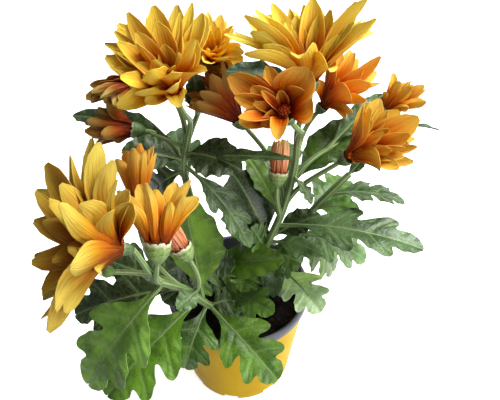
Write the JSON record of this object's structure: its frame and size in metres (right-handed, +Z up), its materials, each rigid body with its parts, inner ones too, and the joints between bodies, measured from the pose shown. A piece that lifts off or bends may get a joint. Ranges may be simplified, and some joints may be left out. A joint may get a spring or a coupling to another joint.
{
  "type": "pot chrysanthemum",
  "caption": "Potted chrysanthemum with lobed leaves and open and half-open yellow and orange flower heads, in a plastic pot with a rolled rim.",
  "frame": {"origin": "centre of the pot's foot, on the surface that it stands on", "axes": "+Z up, -Y towards the plant's front, +X to the right as seen from the front"},
  "size_m": [0.222, 0.2027, 0.3017],
  "materials": {
    "pot_plastic": "satin, yellow outside with a dark grey rim and inside",
    "potting_soil": "crumbly, damp",
    "foliage": "soft, slightly hairy",
    "yellow_petals": "soft satin",
    "orange_petals": "soft satin",
    "bud_petals": "soft satin"
  },
  "bodies": {
    "root": {"pot": "pot_plastic", "potting_soil": "potting_soil", "leafy_stem_front_left": "foliage", "leafy_stem_back_left": "foliage", "leafy_stem_centre": "foliage", "leafy_stem_right": "foliage", "bloom_top_left": "yellow_petals", "bloom_top_middle": "orange_petals", "bloom_far_left": "orange_petals", "bloom_half_open_left": "orange_petals", "bloom_middle_left": "orange_petals", "bloom_crown": "yellow_petals", "bloom_middle_front": "yellow_petals", "bloom_upper_right": "orange_petals", "bloom_half_open_right": "orange_petals", "bloom_right": "orange_petals", "bud_middle": "bud_petals", "bloom_front_left": "yellow_petals", "bloom_vase_front": "orange_petals", "bloom_vase_behind": "orange_petals", "bud_front": "bud_petals"}
  },
  "joints": []
}
